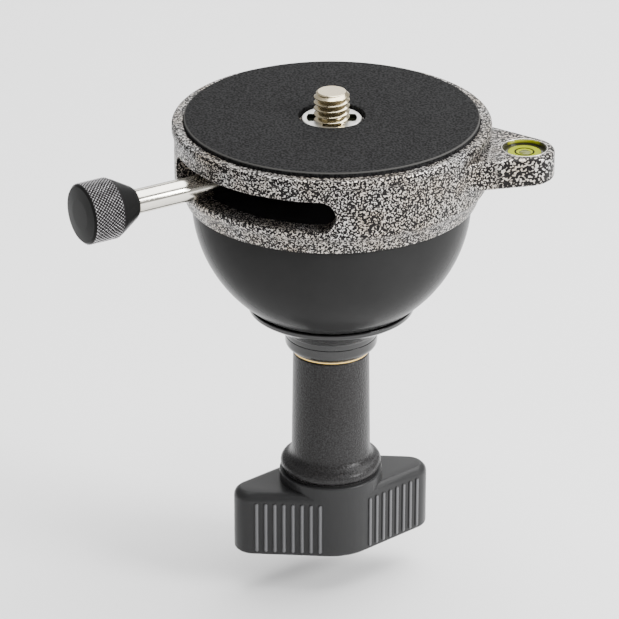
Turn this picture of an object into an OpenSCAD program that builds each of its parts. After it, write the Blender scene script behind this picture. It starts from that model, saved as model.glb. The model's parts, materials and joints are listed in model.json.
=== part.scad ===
// Leveling base: a half ball for a tripod bowl, with a head stud and locking lever on top
// and a screw clamp below. The origin is the centre of the half ball, +Z runs up through
// the head stud, and -Y faces the viewer. All sizes are in millimetres.

/* [Half ball] */
// Diameter of the half ball, which is the size of the tripod bowl
ball_d = 75; // [65:0.5:85]
// Wall of the hollow half ball
ball_wall = 4.5; // [3.5:0.1:6]
// Height of the half ball's top face above its centre
ball_top_h = 6.3; // [5.5:0.1:6.8]
// Step from the ball's edge in to the spigot that centres the platform
ball_shoulder = 0.9; // [0.6:0.1:1.6]
// Opening in the half ball's top face
ball_mouth_d = 34; // [28:0.5:40]
// Thickness of metal under the drawbar's head
ball_seat_t = 6.5; // [5.5:0.1:8]
// Outer diameter of the boss round the drawbar's head
ball_boss_d = 27; // [25:0.5:32]

/* [Platform] */
// Height of the platform's underside above the ball's centre
seat_h = 0.8; // [0.6:0.1:1.6]
// Height of the platform, underside to rim
platform_h = 21.5; // [21:0.1:23.5]
// Thickness of the platform's wall
ring_wall = 5.3; // [4.5:0.1:6.5]
// How far the lip at the top stands out from the wall
lip_proud = 0.6; // [0.3:0.1:1.2]
// Height of the lip
lip_h = 2.6; // [2:0.1:3.5]
// Rounding of the lip's upper edge
lip_round = 0.9; // [0.4:0.1:1.2]
// Height of the tapered lower edge of the wall
foot_h = 5.4; // [3:0.1:6]
// How far the lower edge tapers in
foot_in = 2.8; // [1:0.1:3]
// Width of the rim round the pad
rim_w = 3.1; // [2.4:0.1:4]
// Thickness of the deck under the pad
deck_t = 4.2; // [3.6:0.1:4.6]

/* [Lever slot] */
// Height of the slot
slot_h = 8.2; // [7.8:0.1:8.8]
// Bearing of the slot's right-hand end, in degrees
slot_from = -88.9; // [-100:0.1:-82]
// Bearing of the slot's left-hand end, in degrees
slot_to = -168.5; // [-169.5:0.1:-160]

/* [Friction pad] */
// Thickness of the pad
pad_t = 2; // [1.6:0.1:2.6]
// How far the pad stands above the rim
pad_proud = 1.2; // [0.6:0.1:1.5]
// Hole in the middle of the pad
pad_hole_d = 17.8; // [17:0.1:20]
// Bevel round the pad's upper edge
pad_bevel = 0.4; // [0.2:0.1:0.6]

/* [Head stud] */
// Outside diameter of the stud's thread, three eighths of an inch
stud_d = 9.525; // [8:0.005:10.5]
// Pitch of the stud's thread, sixteen to the inch
stud_pitch = 1.5875; // [1.25:0.0125:2]
// Height of the stud above the pad
stud_h = 6.8; // [5:0.1:9]
// Diameter of the notched nut round the stud
nut_d = 16; // [15.4:0.1:17]
// Thickness of the notched nut
nut_t = 1.5; // [1.2:0.1:1.8]
// Width of a notch in the nut
notch_w = 5; // [3:0.1:5.5]
// Width of the rim left outside the notches
notch_rim = 1.3; // [1:0.1:2]

/* [Hub] */
// Diameter of the lever's hub
hub_d = 24; // [22:0.5:28]
// Width of the nut's rim beyond the hub's neck, which turns in the deck
nut_lap = 1.55; // [1.3:0.05:2]
// Wall of the bush that the neck turns in
bush_wall = 1.3; // [1:0.1:1.5]
// Thickness of the bush's flange
bush_flange_t = 0.8; // [0.5:0.1:1.2]
// Diameter of the bush's flange
bush_flange_d = 22; // [19:0.5:24]
// Thickness of the thrust washer under the nut
thrust_t = 0.5; // [0.4:0.1:0.8]
// Depth of the round pocket in the deck that the thrust washer lies in
deck_pocket = 1; // [0.8:0.1:1.2]
// Diameter of the grub screw that holds the stud
grub_d = 4; // [3:0.5:5]

/* [Lever] */
// Bearing of the lever as drawn, in degrees
lever_az = -148.5; // [-160:0.5:-98]
// Height of the lever's axis above the platform's underside
lever_rise = 11.2; // [10.8:0.1:11.4]
// Diameter of the lever's rod
rod_d = 6.5; // [5.5:0.1:6.8]
// Length of the rod inside the hub
rod_in_hub = 5.2; // [4:0.1:6]
// Distance from the head's axis to the outer face of the knob
lever_reach = 76; // [70:0.5:95]
// Length of the knob
knob_len = 15.8; // [13:0.1:20]
// Diameter of the knob's knurled band
knob_d = 16.4; // [13:0.1:20]
// Width of the knurled band
knob_band = 8.8; // [7:0.1:10]
// Diameter of the knob's narrow end
knob_nose_d = 9; // [8:0.1:11]
// Bevel on both edges of the knurled band
knob_bevel = 0.6; // [0.3:0.1:0.9]
// Length of the rod inside the knob
rod_in_knob = 9; // [6:0.5:11]

/* [Deck screws] */
// Diameter of the screws that hold the platform to the half ball
screw_d = 5; // [4:0.5:5]
// Overall length of a screw
screw_len = 20; // [18.5:0.5:22]
// Diameter of a screw's countersunk head
screw_head_d = 9.6; // [9:0.1:10]
// Diameter of the bosses that the screws pass down
boss_d = 10; // [9:0.1:11]
// Number of deck screws
screw_count = 3; // [3:1:3]
// Bearing of the first deck screw, in degrees
screw_az = 50; // [45:1:52]

/* [Level] */
// Bearing of the bubble level, in degrees
ear_az = -11.2; // [-30:0.1:20]
// Distance of the level's centre outside the platform's wall
ear_out = 9.7; // [9:0.1:13]
// Diameter of the rounded tip of the ear
ear_tip_d = 16; // [15.4:0.1:19]
// Angle at which each side of the ear spreads towards the wall
ear_flare = 24; // [16:1:28]
// Thickness of the ear
ear_t = 8; // [7.4:0.1:9]
// Drop from the platform's rim to the top of the ear
ear_drop = 4; // [3:0.1:5]
// Rounding of the ear's edges
ear_edge = 1; // [0.5:0.1:1.5]
// Diameter of the pocket in the ear
vial_pocket_d = 12.6; // [11.5:0.1:13.2]
// Floor left under the pocket
vial_floor = 1.5; // [1:0.1:2]
// Wall of the bright bezel round the vial
bezel_wall = 0.4; // [0.3:0.1:0.6]
// How far the vial's cover lies below the bezel's edge
vial_sunk = 0.5; // [0.2:0.1:0.8]
// Diameter of the liquid chamber
chamber_d = 8.8; // [8:0.1:9.6]
// Depth of the liquid chamber
chamber_h = 3.2; // [2.5:0.1:3.5]
// Thickness of the vial's clear cover
cover_t = 1.3; // [1:0.1:1.6]
// Width of the bubble
bubble_d = 2.8; // [2:0.1:3.5]

/* [Drawbar] */
// Diameter of the drawbar
drawbar_d = 10; // [8:0.5:10]
// Width of the drawbar's six-sided head across its flats
drawbar_head_w = 17; // [15:0.5:18]
// Height of the drawbar's head
drawbar_head_h = 6.4; // [5:0.1:8]
// Depth of the six-sided pocket that stops the drawbar turning
head_pocket = 4; // [3:0.1:5]
// Travel of the clamp, from tight to its stop
clamp_travel = 12; // [8:0.5:13]

/* [Clamp] */
// Diameter of the clamp dish
dish_d = 45.2; // [40:0.2:50]
// Height of the dish's outer edge
dish_edge = 1.6; // [1.2:0.1:2.2]
// Thickness of the dish's floor under the ball
dish_floor = 2.4; // [2:0.1:3.2]
// Diameter of the collar under the dish
collar_d = 25.2; // [24:0.2:28]
// Height of the collar
collar_h = 2.9; // [2.4:0.1:4]
// Bevel on the collar's edges
collar_bevel = 0.4; // [0.2:0.1:0.7]
// Height of the narrow step under the collar
collar_step = 0.9; // [0.6:0.1:1.5]
// Diameter of the brass washer
brass_d = 21.4; // [20:0.1:22]
// Thickness of the brass washer
brass_t = 0.9; // [0.7:0.1:1.5]

/* [Handle] */
// Diameter of the tube at its top
tube_top_d = 20.86; // [20.2:0.02:22]
// Diameter of the tube where it begins to flare
tube_low_d = 21.7; // [21:0.1:24]
// Length of the tube above the flare
tube_len = 31.2; // [30:0.1:40]
// Height of the flared foot of the tube
flare_h = 4.5; // [4:0.1:6]
// Diameter of the tube's foot
flare_d = 27.8; // [26.5:0.1:30]
// Bore of the tube
tube_bore_d = 16.8; // [16:0.1:17]
// Thickness of the shoulder at the top of the bore
tube_lip = 3.3; // [2.5:0.1:4]
// Length of the threaded insert
insert_len = 14; // [10:0.5:15]
// Diameter of the tube's tail, which fits in the wing knob
tail_d = 22; // [21:0.1:22.5]
// Width of the tail across its two flats
tail_flats = 19.6; // [18.8:0.1:20.4]
// Length of the tail
tail_len = 11.7; // [10:0.1:12]
// Length of the plug that closes the tail
plug_len = 9; // [6:0.5:9]

/* [Wing knob] */
// Bearing of the wing knob's long axis, in degrees
wing_az = 18.35; // [0:0.05:90]
// Height of the wings
wing_h = 18.6; // [18:0.1:22]
// Diameter of the wing knob's middle
wing_mid_d = 28.4; // [27:0.1:32]
// Diameter of the rounded wing tips
wing_tip_d = 11.2; // [9:0.1:14]
// Distance between the centres of the two tips
wing_pitch = 44.6; // [40:0.1:60]
// Rounding of the wings' upper edges
wing_edge = 2.4; // [1.2:0.1:3]
// Rounding of the wings' lower edges
wing_low_edge = 1; // [0.5:0.1:2]
// Height of the round boss above the wings
wing_boss_h = 2.7; // [2:0.1:5]
// Number of finger ribs on each side of each wing
rib_n = 8; // [4:1:8]
// Distance between ribs
rib_pitch = 2.5; // [2:0.05:2.6]
// Distance from the start of a flank, at the wing tip, to its first rib
rib_first = 1.2; // [0.8:0.1:2]
// Width of a rib
rib_w = 1.2; // [0.8:0.1:1.6]
// Length of a rib
rib_len = 15.2; // [9:0.1:15.2]
// Thickness of the wing knob's inner floor
wing_floor = 3; // [2.5:0.1:3.5]
// Diameter of the screw that holds the wing knob
wing_screw_d = 6; // [5:0.5:6]
// Length of that screw under its head
wing_screw_len = 10; // [8:0.5:12]
// Diameter of the cap over the screw
cap_d = 19; // [17:0.1:20]
// Thickness of the cap
cap_t = 1.4; // [1:0.1:2]

/* [Fits] */
// Radial clearance of parts that turn or slide on each other
run_fit = 0.06; // [0.03:0.01:0.09]
// Clearance between parts that are fixed together
seat_fit = 0.05; // [0.02:0.01:0.1]
// Gap between moving faces that don't touch
face_gap = 0.3; // [0.25:0.05:0.4]

/* [Hidden] */
$fn = 96;
// Sides of rounds inside a hull, and of the small ribs
hull_fn = 32;
rib_fn = 24;
// Overlap of joined shapes, and how far a cut runs past the face that it opens
eps = 0.01;
over = 1;
// Small details
boss_sink = 0.4;
screw_play = 0.5;
hub_floor = 1;
shank_relief = 0.4;
joint_groove = 0.4;
stop_t = 1.5;
circlip_t = 1;
circlip_groove = 0.5;
circlip_mouth = 50;
drawbar_tip = 1.5;
screw_washer_t = 1.2;
rib_rise = 0.2;
rib_sink = 0.1;

// Radii
ball_r = ball_d / 2;
cavity_r = ball_r - ball_shoulder;
wall_r = cavity_r + ring_wall;
lip_r = wall_r + lip_proud;
recess_r = lip_r - rim_w;
pad_r = recess_r - 2 * seat_fit;
stud_r = stud_d / 2;
shank_r = stud_r - shank_relief;
neck_r = nut_d / 2 - nut_lap;
bush_r = neck_r + run_fit + bush_wall;
nut_pocket_r = nut_d / 2 + face_gap;
drawbar_r = drawbar_d / 2;
dish_r = dish_d / 2;
cup_r = ball_r + face_gap;
boss_ring_r = cavity_r - boss_d / 2 + boss_sink;
bezel_r = vial_pocket_d / 2 - seat_fit;
vial_r = bezel_r - bezel_wall - seat_fit;
wing_mid_r = wing_mid_d / 2;
tip_r = wing_tip_d / 2;

// Heights, from the platform's underside up
rim_z = seat_h + platform_h;
recess_z = rim_z + pad_proud - pad_t;
deck_z = recess_z - deck_t;
pad_z = rim_z + pad_proud;
pocket_z = recess_z - deck_pocket;
nut_z = pocket_z + thrust_t + face_gap;
lever_z = seat_h + lever_rise;
hub_top_z = deck_z - bush_flange_t - face_gap;
hub_low_z = 2 * lever_z - hub_top_z;
ear_z = rim_z - ear_drop;
ear_r = wall_r + ear_out;
vial_low_z = ear_z - ear_t + vial_floor;
vial_top_z = ear_z - vial_sunk;
chamber_z = vial_top_z - cover_t - chamber_h;

// Heights, from the ball's centre down
head_floor_z = -ball_r + ball_seat_t;
dish_lip_z = -sqrt(cup_r * cup_r - dish_r * dish_r);
dish_low_z = -cup_r - dish_floor;
collar_low_z = dish_low_z - collar_h;
brass_z = collar_low_z - collar_step;
tube_z = brass_z - brass_t - face_gap;
insert_z = tube_z - tube_lip;
flare_z = tube_z - tube_len;
foot_z = flare_z - flare_h;
wing_top_z = foot_z - joint_groove;
wing_z = wing_top_z - wing_boss_h;
wing_low_z = wing_z - wing_h;
tail_z = wing_top_z - tail_len;
floor_z = tail_z - wing_floor;
stop_z = insert_z - insert_len - clamp_travel - face_gap;
drawbar_end_z = stop_z - stop_t - circlip_t - drawbar_tip;

// Points of an arc, for outlines
function arc(cx, cy, r, from, to, n) =
    [for (i = [0:n]) let (a = from + (to - from) * i / n) [cx + r * cos(a), cy + r * sin(a)]];

module at_az(angle) {
    rotate([0, 0, angle]) children();
}

module each_deck_screw() {
    for (i = [0:screw_count - 1])
        at_az(screw_az + i * 360 / screw_count) translate([boss_ring_r, 0, 0]) children();
}

module ring(r_out, r_in, z, h) {
    difference() {
        translate([0, 0, z]) cylinder(r = r_out, h = h);
        translate([0, 0, z - over]) cylinder(r = r_in, h = h + 2 * over);
    }
}

// A disc with rounded edges, low_edge below and top_edge above
module rounded_disc(r, h, low_edge, top_edge) {
    rotate_extrude($fn = hull_fn)
        polygon(concat([[0, 0]], arc(r - low_edge, low_edge, low_edge, -90, 0, 3),
            arc(r - top_edge, h - top_edge, top_edge, 0, 90, 3), [[0, h]]));
}

// Platform: deck, wall with the lever's slot, three screw bosses and the ear for the level

// The wall's lower edge narrows in two slopes, which meet at the knee
function wall_outline() =
    let (knee_r = wall_r - foot_in * 0.54, knee_z = seat_h + foot_h * 0.63)
    concat(
        [[cavity_r, seat_h], [wall_r - foot_in, seat_h], [knee_r, knee_z],
            [wall_r, seat_h + foot_h], [wall_r, rim_z - lip_h], [lip_r, rim_z - lip_h + lip_proud]],
        arc(lip_r - lip_round, rim_z - lip_round, lip_round, 0, 90, 5),
        [[recess_r, rim_z], [recess_r, recess_z], [0, recess_z], [0, deck_z], [cavity_r, deck_z]]);

module ear_body() {
    flank = ear_r * sin(ear_flare) + ear_tip_d / 2;
    root_r = 2;
    root_sink = 0.4;
    root_x = wall_r - root_r - root_sink;
    root_y = (flank - root_r - root_x * sin(ear_flare)) / cos(ear_flare);
    at_az(ear_az) translate([0, 0, ear_z - ear_t]) hull() {
        translate([ear_r, 0, 0]) rounded_disc(ear_tip_d / 2, ear_t, ear_edge, ear_edge);
        for (side = [-1, 1])
            translate([root_x, side * root_y, 0])
                rounded_disc(root_r, ear_t, ear_edge, ear_edge);
    }
}

// The round ends are a hair narrower than the slot, so that no faces only touch
module lever_slot() {
    end_r = slot_h / 2 - 3 * eps;
    end_angle = asin(slot_h / 2 / wall_r);
    inner_r = cavity_r - 2 * over;
    depth = lip_r - inner_r + over;
    at_az(slot_to + end_angle)
        rotate_extrude(angle = slot_from - slot_to - 2 * end_angle)
            translate([inner_r, lever_z - slot_h / 2]) square([depth, slot_h]);
    for (a = [slot_to + end_angle, slot_from - end_angle])
        at_az(a) translate([inner_r, 0, lever_z]) rotate([0, 90, 0])
            cylinder(r = end_r, h = depth);
}

module platform() {
    color("dimgray") difference() {
        union() {
            rotate_extrude() polygon(wall_outline());
            intersection() {
                each_deck_screw() translate([0, 0, ball_top_h])
                    cylinder(d = boss_d, h = deck_z - ball_top_h + over);
                cylinder(r = cavity_r + over, h = rim_z);
            }
            ear_body();
        }
        lever_slot();
        translate([0, 0, deck_z - over]) cylinder(r = bush_r, h = deck_t + 2 * over);
        translate([0, 0, pocket_z]) cylinder(r = nut_pocket_r, h = deck_t);
        each_deck_screw() {
            translate([0, 0, seat_h]) cylinder(d = screw_d + screw_play, h = platform_h);
            deck_screw_head(2 * seat_fit, over);
        }
        at_az(ear_az) translate([ear_r, 0, ear_z - ear_t + vial_floor])
            cylinder(d = vial_pocket_d, h = ear_t);
    }
}

module friction_pad() {
    color("#3b3b3d") difference() {
        rotate_extrude() polygon([[0, recess_z], [pad_r, recess_z], [pad_r, pad_z - pad_bevel],
            [pad_r - pad_bevel, pad_z], [0, pad_z]]);
        translate([0, 0, recess_z - over]) cylinder(d = pad_hole_d, h = pad_t + 2 * over);
    }
}

module deck_bush() {
    color("#b08a4a") difference() {
        union() {
            translate([0, 0, deck_z - eps]) cylinder(r = bush_r, h = pocket_z - deck_z + eps);
            translate([0, 0, deck_z - bush_flange_t])
                cylinder(d = bush_flange_d, h = bush_flange_t);
        }
        translate([0, 0, deck_z - bush_flange_t - over])
            cylinder(r = neck_r + run_fit, h = deck_t + bush_flange_t + 2 * over);
    }
}

module thrust_washer() {
    color("ivory") ring(nut_pocket_r - seat_fit, neck_r + face_gap, pocket_z, thrust_t);
}

// Square-cone countersunk head. The seat that it lies in is wider by play and runs on past.
module deck_screw_head(play, past) {
    cone_h = (screw_head_d - screw_d) / 2;
    translate([0, 0, recess_z - cone_h]) cylinder(d1 = screw_d + 2 * play,
        d2 = screw_head_d + 2 * play + 2 * past, h = cone_h + past);
}

module deck_screws() {
    key_w = 3;
    key_depth = 2;
    color("#2c2c2e") each_deck_screw() difference() {
        union() {
            translate([0, 0, recess_z - screw_len]) cylinder(d = screw_d, h = screw_len - over);
            deck_screw_head(0, 0);
        }
        translate([0, 0, recess_z - key_depth])
            cylinder(d = key_w / cos(30), h = key_depth + over, $fn = 6);
    }
}

// Half ball: hollow, with a spigot for the platform, lugs for the screws and the drawbar's seat

module half_ball() {
    lug_floor = 1;
    lug_h = ball_top_h - recess_z + screw_len + lug_floor + over;
    inner_r = ball_r - ball_wall;
    color("#1c1c1e") difference() {
        union() {
            difference() {
                sphere(r = ball_r);
                translate([0, 0, seat_h]) cylinder(r = ball_r + over, h = ball_r);
                intersection() {
                    sphere(r = inner_r);
                    translate([0, 0, ball_top_h - ball_wall - 2 * ball_r])
                        cylinder(r = ball_r, h = 2 * ball_r);
                }
            }
            ring(cavity_r - seat_fit, ball_mouth_d / 2, seat_h - over, ball_top_h - seat_h + over);
            intersection() {
                sphere(r = ball_r - over);
                union() {
                    each_deck_screw() translate([0, 0, ball_top_h - lug_h])
                        cylinder(d = boss_d, h = lug_h);
                    translate([0, 0, -ball_r])
                        cylinder(d = ball_boss_d, h = ball_seat_t + head_pocket);
                }
            }
        }
        each_deck_screw() translate([0, 0, recess_z - screw_len - lug_floor])
            cylinder(d = screw_d + 2 * seat_fit, h = screw_len);
        translate([0, 0, -ball_r - over]) cylinder(r = drawbar_r + seat_fit, h = ball_r);
        translate([0, 0, head_floor_z])
            cylinder(d = (drawbar_head_w + 2 * seat_fit) / cos(30), h = ball_r / 2, $fn = 6);
    }
}

module drawbar() {
    lead_in = 1;
    color("silver") difference() {
        union() {
            translate([0, 0, head_floor_z])
                cylinder(d = drawbar_head_w / cos(30), h = drawbar_head_h, $fn = 6);
            translate([0, 0, drawbar_end_z + lead_in])
                cylinder(r = drawbar_r, h = head_floor_z - drawbar_end_z - lead_in);
            translate([0, 0, drawbar_end_z])
                cylinder(r1 = drawbar_r - lead_in, r2 = drawbar_r, h = lead_in);
        }
        ring(drawbar_r + over, drawbar_r - circlip_groove, stop_z - stop_t - circlip_t, circlip_t);
    }
}

module stop_washer() {
    color("silver")
        ring(tube_bore_d / 2 - face_gap, drawbar_r + seat_fit, stop_z - stop_t, stop_t);
}

module stop_circlip() {
    clip_r = drawbar_r - circlip_groove + seat_fit;
    clip_w = 1.9;
    color("#55555a") at_az(circlip_mouth / 2) rotate_extrude(angle = 360 - circlip_mouth)
        translate([clip_r, stop_z - stop_t - circlip_t + seat_fit])
            square([clip_w, circlip_t - 2 * seat_fit]);
}

// Bubble level in the ear

module at_vial() {
    at_az(ear_az) translate([ear_r, 0, 0]) children();
}

module vial_bezel() {
    proud = 0.1;
    color("gainsboro") at_vial()
        ring(bezel_r, bezel_r - bezel_wall, vial_low_z, ear_z - vial_low_z + proud);
}

module vial_cup() {
    color([0.9, 0.95, 0.7, 0.4]) at_vial() difference() {
        translate([0, 0, vial_low_z]) cylinder(r = vial_r, h = chamber_z + chamber_h - vial_low_z);
        translate([0, 0, chamber_z]) cylinder(d = chamber_d, h = chamber_h + over);
    }
}

module vial_liquid() {
    bubble_h = 0.8;
    dome_r = (bubble_d * bubble_d / 4 + bubble_h * bubble_h) / (2 * bubble_h);
    color("yellowgreen") at_vial() difference() {
        translate([0, 0, chamber_z])
            cylinder(d = chamber_d - 2 * seat_fit, h = chamber_h - seat_fit);
        translate([0, 0, chamber_z + chamber_h - seat_fit - bubble_h + dome_r]) sphere(r = dome_r);
    }
}

module vial_cover() {
    color([0.9, 0.95, 0.7, 0.4]) at_vial()
        translate([0, 0, vial_top_z - cover_t]) cylinder(r = vial_r, h = cover_t);
}

// Lever group: all of it turns about Z

module stud_hub() {
    color("#8d8d90") difference() {
        union() {
            translate([0, 0, hub_low_z]) cylinder(d = hub_d, h = hub_top_z - hub_low_z);
            translate([0, 0, lever_z]) cylinder(r = neck_r, h = nut_z - lever_z);
        }
        translate([0, 0, hub_low_z + hub_floor])
            cylinder(r = shank_r + seat_fit, h = nut_z - hub_low_z);
        at_az(lever_az) translate([hub_d / 2 - rod_in_hub - seat_fit, 0, lever_z])
            rotate([0, 90, 0]) cylinder(d = rod_d + 2 * seat_fit, h = hub_d);
        at_az(lever_az + 180) translate([0, 0, lever_z])
            rotate([0, 90, 0]) cylinder(d = grub_d + 2 * seat_fit, h = hub_d);
    }
}

// The exposed thread is drawn as rings at the true pitch, above a plain shank
module head_stud() {
    top_z = pad_z + stud_h;
    tooth = stud_pitch * 0.61;
    flat = stud_pitch / 8;
    slope_h = (stud_pitch - 2 * flat) / 2;
    chamfer = 1;
    turns = floor((stud_h - chamfer) / stud_pitch);
    thread_z = top_z - chamfer - (turns + 1 / 3) * stud_pitch;
    color("#cfc7b2") rotate_extrude() polygon(concat(
        [[0, hub_low_z + hub_floor], [shank_r, hub_low_z + hub_floor],
            [shank_r, thread_z], [stud_r, thread_z]],
        [for (i = [0:turns - 1]) let (z = top_z - chamfer - (turns - i) * stud_pitch)
            each [[stud_r, z], [stud_r - tooth, z + slope_h],
                [stud_r - tooth, z + slope_h + flat], [stud_r, z + stud_pitch - flat]]],
        [[stud_r, top_z - chamfer], [stud_r - chamfer, top_z], [0, top_z]]));
}

module castle_nut() {
    edge = 0.3;
    notch_r = nut_d / 2 - notch_rim;
    notch_depth = 1.1;
    color("gainsboro") difference() {
        rotate_extrude() polygon([[shank_r + seat_fit, nut_z], [nut_d / 2, nut_z],
            [nut_d / 2, nut_z + nut_t - edge], [nut_d / 2 - edge, nut_z + nut_t],
            [shank_r + seat_fit, nut_z + nut_t]]);
        intersection() {
            translate([0, 0, nut_z + nut_t - notch_depth]) cylinder(r = notch_r, h = nut_t);
            for (a = [0, 90])
                at_az(a) translate([-nut_d, -notch_w / 2, nut_z])
                    cube([2 * nut_d, notch_w, 2 * nut_t]);
        }
    }
}

module hub_grub_screw() {
    below_face = 1;
    color("#2c2c2e") at_az(lever_az + 180) translate([shank_r + seat_fit, 0, lever_z])
        rotate([0, 90, 0]) cylinder(d = grub_d, h = hub_d / 2 - shank_r - below_face);
}

module lever_rod() {
    from_r = hub_d / 2 - rod_in_hub;
    to_r = lever_reach - knob_len + rod_in_knob;
    color("gainsboro") at_az(lever_az) translate([from_r, 0, lever_z])
        rotate([0, 90, 0]) cylinder(d = rod_d, h = to_r - from_r);
}

module lever_knob() {
    nose_round = 0.8;
    dome = 0.4;
    rod_hole = rod_in_knob + seat_fit;
    face_h = knob_len - dome;
    color("#1a1a1c") at_az(lever_az) translate([lever_reach - knob_len, 0, lever_z])
        rotate([0, 90, 0]) difference() {
            rotate_extrude() polygon([[0, 0], [knob_nose_d / 2 - nose_round, 0],
                [knob_nose_d / 2, nose_round],
                [knob_d / 2 - knob_bevel, face_h - knob_band - knob_bevel / 2],
                [knob_d / 2, face_h - knob_band + knob_bevel / 2],
                [knob_d / 2, face_h - knob_bevel], [knob_d / 2 - knob_bevel, face_h],
                [knob_d / 4, knob_len - dome / 4], [0, knob_len]]);
            translate([0, 0, -over]) cylinder(d = rod_d + 2 * seat_fit, h = rod_hole + over);
        }
}

// Clamp group: it slides on the drawbar without turning

module clamp_dish() {
    edge_low = dish_lip_z - dish_edge;
    neck_h = dish_floor * 0.8;
    corner = 0.6;
    color("#1c1c1e") difference() {
        rotate_extrude() polygon([[0, dish_low_z], [collar_d / 2, dish_low_z],
            [collar_d / 2, dish_low_z + neck_h], [dish_r - 2 * corner, edge_low - corner],
            [dish_r - corner / 2, edge_low - corner / 2], [dish_r, edge_low],
            [dish_r, dish_lip_z + over], [0, dish_lip_z + over]]);
        sphere(r = cup_r);
        translate([0, 0, dish_low_z - over])
            cylinder(r = drawbar_r + run_fit, h = dish_floor + 2 * over);
    }
}

module thrust_collar() {
    step_out = 0.2;
    step_r = brass_d / 2 + step_out;
    bore_r = drawbar_r + face_gap;
    color("#202022") rotate_extrude() polygon([[bore_r, dish_low_z],
        [collar_d / 2 - collar_bevel, dish_low_z], [collar_d / 2, dish_low_z - collar_bevel],
        [collar_d / 2, collar_low_z + collar_bevel], [collar_d / 2 - collar_bevel, collar_low_z],
        [step_r, collar_low_z], [step_r, brass_z], [bore_r, brass_z]]);
}

module brass_washer() {
    color("#c9a24d") ring(brass_d / 2, drawbar_r + face_gap, brass_z - brass_t, brass_t);
}

// Handle group: tube, insert and wing knob, which turn on the drawbar's thread

module handle_tube() {
    joint_in = 0.9;
    joint_r = flare_d / 2 - joint_in;
    top_edge = 0.5;
    bulge = flare_h / 3;
    color("#242426") difference() {
        rotate_extrude() polygon(concat(
            [[0, tube_z], [tube_top_d / 2 - top_edge, tube_z], [tube_top_d / 2, tube_z - top_edge],
                [tube_low_d / 2, flare_z]],
            [for (i = [1:4]) let (t = i / 5)
                [tube_low_d / 2 + (flare_d - tube_low_d) / 2 * (1 - cos(90 * t)),
                    flare_z - (flare_h - bulge) * sin(90 * t)]],
            arc(flare_d / 2 - bulge / 2, foot_z + bulge / 2, bulge / 2, 60, -90, 5),
            [[joint_r, foot_z], [joint_r, wing_top_z], [tail_d / 2, wing_top_z],
                [tail_d / 2, tail_z], [0, tail_z]]));
        translate([0, 0, tail_z - over]) cylinder(d = tube_bore_d, h = insert_z - tail_z + over);
        translate([0, 0, insert_z - over])
            cylinder(r = drawbar_r + face_gap, h = tube_lip + 2 * over);
        tail_flat_cuts(0);
    }
}

// What the two flats take off the tail, or leave in the wing knob's socket
module tail_flat_cuts(play) {
    for (side = [0, 180])
        at_az(side) translate([-tail_d, tail_flats / 2 + play, tail_z - over])
            cube([2 * tail_d, tail_d, tail_len + over]);
}

module thread_insert() {
    color("#c9a24d")
        ring(tube_bore_d / 2 - seat_fit, drawbar_r + run_fit, insert_z - insert_len, insert_len);
}

module tail_plug() {
    color("#9a9aa0") difference() {
        translate([0, 0, tail_z]) cylinder(d = tube_bore_d - 2 * seat_fit, h = plug_len);
        translate([0, 0, tail_z - over])
            cylinder(d = wing_screw_d + 2 * seat_fit, h = plug_len);
    }
}

// A rib is a rod with round ends, sunk to a little more than half its width in the flank
module rib() {
    r = rib_w / 2;
    cylinder(r = r, h = rib_len - rib_w, center = true, $fn = rib_fn);
    for (end = [-1, 1])
        translate([0, 0, end * (rib_len - rib_w) / 2]) sphere(r = r, $fn = rib_fn);
}

// Ribs of the flank that leads from the tip at +X towards +Y
module flank_ribs() {
    slant = asin((wing_mid_r - tip_r) / (wing_pitch / 2));
    rib_z = wing_low_z + (wing_h - wing_edge + wing_low_edge) / 2 + rib_rise;
    translate([wing_pitch / 2 + tip_r * sin(slant), tip_r * cos(slant), rib_z])
        rotate([0, 0, 180 - slant])
            for (i = [0:rib_n - 1])
                translate([rib_first + i * rib_pitch, rib_sink, 0]) rib();
}

module wing_blank() {
    hull() {
        translate([0, 0, wing_low_z])
            rounded_disc(wing_mid_r, wing_h, wing_low_edge, wing_edge);
        for (side = [-1, 1])
            translate([side * wing_pitch / 2, 0, wing_low_z])
                rounded_disc(tip_r, wing_h, wing_low_edge, wing_edge);
    }
    translate([0, 0, wing_low_z + wing_low_edge])
        cylinder(r = wing_mid_r - eps, h = wing_top_z - wing_low_z - wing_low_edge);
}

module wing_knob() {
    screw_hole_d = wing_screw_d + screw_play;
    color("#1e1e20") at_az(wing_az) difference() {
        union() {
            wing_blank();
            for (mx = [0, 1], my = [0, 1])
                mirror([mx, 0, 0]) mirror([0, my, 0]) flank_ribs();
        }
        difference() {
            translate([0, 0, tail_z]) cylinder(r = tail_d / 2 + seat_fit, h = wing_h);
            at_az(-wing_az) tail_flat_cuts(seat_fit);
        }
        translate([0, 0, wing_low_z]) cylinder(d = screw_hole_d, h = wing_h);
        translate([0, 0, wing_low_z - over])
            cylinder(r = cap_d / 2 + seat_fit, h = floor_z - wing_low_z + over);
    }
}

module wing_screw() {
    head_h = 3;
    head_d = 10.5;
    key_w = 4;
    key_depth = 1.8;
    seat_z = floor_z - screw_washer_t;
    color("silver") difference() {
        union() {
            translate([0, 0, seat_z]) cylinder(d = wing_screw_d, h = wing_screw_len);
            translate([0, 0, seat_z - head_h]) cylinder(d = head_d, h = head_h);
        }
        translate([0, 0, seat_z - head_h - over])
            cylinder(d = key_w / cos(30), h = key_depth + over, $fn = 6);
    }
}

module wing_screw_washer() {
    color("silver") ring(cap_d / 2 - over, (wing_screw_d + screw_play) / 2,
        floor_z - screw_washer_t, screw_washer_t);
}

module end_cap() {
    color("#1a1a1c") translate([0, 0, wing_low_z]) cylinder(d = cap_d, h = cap_t);
}

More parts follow.
